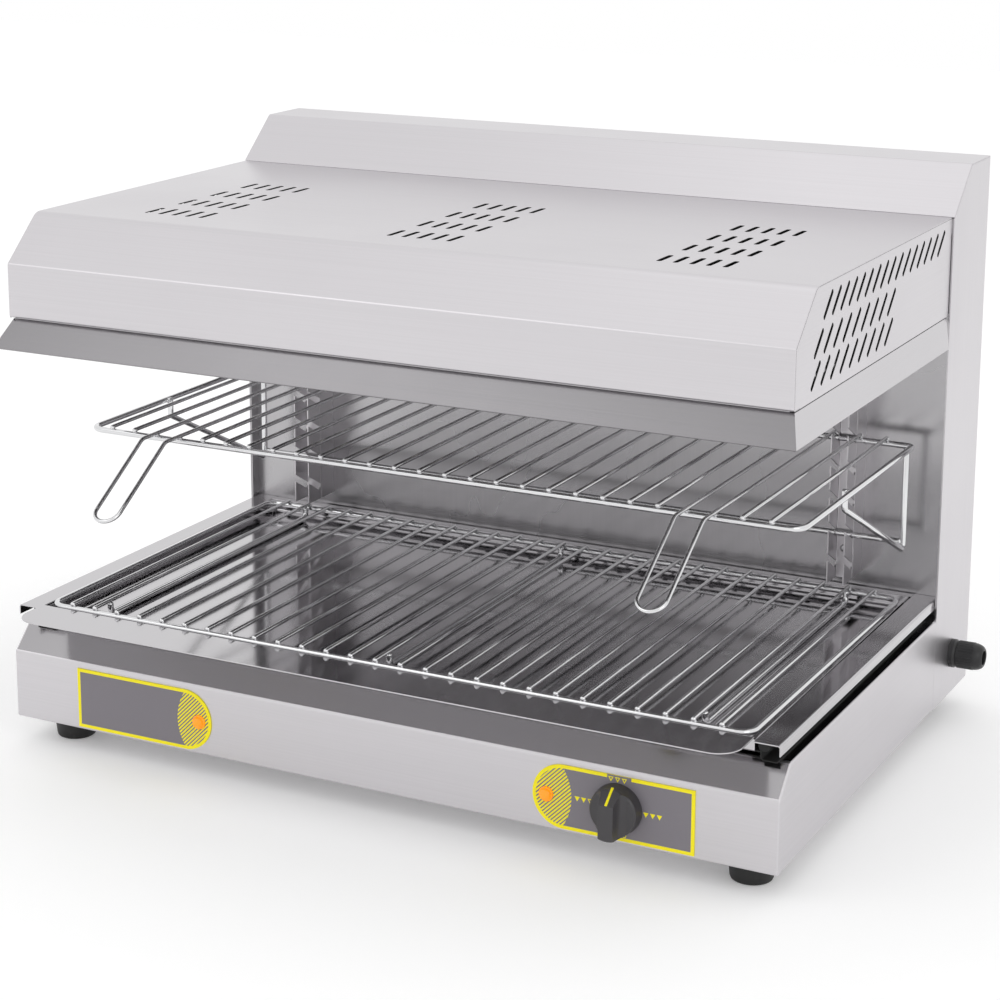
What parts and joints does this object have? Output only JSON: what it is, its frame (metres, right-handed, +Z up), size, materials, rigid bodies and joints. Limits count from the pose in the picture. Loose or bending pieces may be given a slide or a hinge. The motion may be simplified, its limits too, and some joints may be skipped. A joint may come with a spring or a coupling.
{
  "type": "cheese melter",
  "caption": "Electric cheese melter: stainless base with a control knob, rear column and vented hood over two wire racks and a crumb tray.",
  "frame": {"origin": "bottom centre of the whole object's box, on the plane the feet stand on", "axes": "+X to the right seen from the front, +Y to the back, +Z up"},
  "size_m": [0.8406, 0.5912, 0.5705],
  "materials": {
    "steel": "fine satin stainless steel",
    "skirt_steel": "bright annealed stainless steel",
    "polished_steel": "mirror polished stainless steel",
    "chrome_wire": "bright chromed wire",
    "zinc_fastener": "zinc plated",
    "quartz": "frosted quartz",
    "ceramic": "unglazed steatite",
    "control_plate": "satin grey print with a yellow border",
    "lamp": "clear orange lens",
    "black_plastic": "fine grain moulded black",
    "foot_rubber": "matt black"
  },
  "bodies": {
    "melter": {"base_shell": "steel", "base_bottom_plate": "steel", "column_back_panel": "steel", "column_top_cover": "steel", "cavity_back_wall": "polished_steel", "hood_cover": "steel", "reflector_skirt": "skirt_steel", "reflector_pan": "polished_steel", "heating_tube_caps": "ceramic", "element_guard": "chrome_wire", "deck_rear_strip": "polished_steel", "ladder_screws": "zinc_fastener", "pilot_lamp_nuts": "zinc_fastener", "rotary_switch": "black_plastic", "foot_nuts": "zinc_fastener", "cable_gland_body": "black_plastic", "cable_gland_nut": "black_plastic", "cable_gland_locknut": "black_plastic", "terminal_block": "black_plastic", "column_side_left": "steel", "column_side_right": "steel", "hood_cheek_left": "steel", "hood_cheek_right": "steel", "tube_holder_left": "steel", "tube_holder_right": "steel", "deck_side_left": "polished_steel", "deck_side_right": "polished_steel", "tray_runner_left": "steel", "tray_runner_right": "steel", "ladder_channel_left": "polished_steel", "ladder_channel_right": "polished_steel", "ladder_spacer_left": "polished_steel", "ladder_spacer_right": "polished_steel", "control_plate_left": "control_plate", "control_plate_right": "control_plate", "pilot_lamp_left": "lamp", "pilot_lamp_right": "lamp", "heating_tube_1": "quartz", "heating_tube_2": "quartz", "heating_tube_3": "quartz", "heating_tube_4": "quartz", "foot_front_left": "foot_rubber", "foot_front_right": "foot_rubber", "foot_rear_left": "foot_rubber", "foot_rear_right": "foot_rubber"},
    "knob": {"control_knob": "black_plastic", "knob_shaft": "zinc_fastener"},
    "tray": {"crumb_tray": "polished_steel"},
    "lower_rack": {"lower_rack_grid": "chrome_wire", "lower_rack_skid_left": "chrome_wire", "lower_rack_skid_middle": "chrome_wire", "lower_rack_skid_right": "chrome_wire"},
    "upper_rack": {"upper_rack_grid": "chrome_wire", "upper_rack_handle_left": "chrome_wire", "upper_rack_handle_right": "chrome_wire", "upper_rack_brace_left": "chrome_wire", "upper_rack_brace_right": "chrome_wire", "upper_rack_crossbar": "chrome_wire"}
  },
  "joints": [
    {"name": "knob_turn", "type": "hinge", "parent": "melter", "child": "knob", "pos_m": [0.23835, -0.2577, 0.0595], "axis": [0, 1, 0], "range_deg": [-180, 90]},
    {"name": "crumb_tray_slide", "type": "slide", "parent": "melter", "child": "tray", "axis": [0, -1, 0], "range_m": [0, 0.35]},
    {"name": "lower_rack_lift", "type": "hinge", "parent": "tray", "child": "lower_rack", "pos_m": [-0.01365, 0.1494, 0.1418], "axis": [-1, 0, 0], "range_deg": [0, 12]},
    {"name": "upper_rack_lift", "type": "slide", "parent": "melter", "child": "upper_rack", "axis": [0, -0.866, 0.5], "range_m": [0, 0.06]}
  ]
}
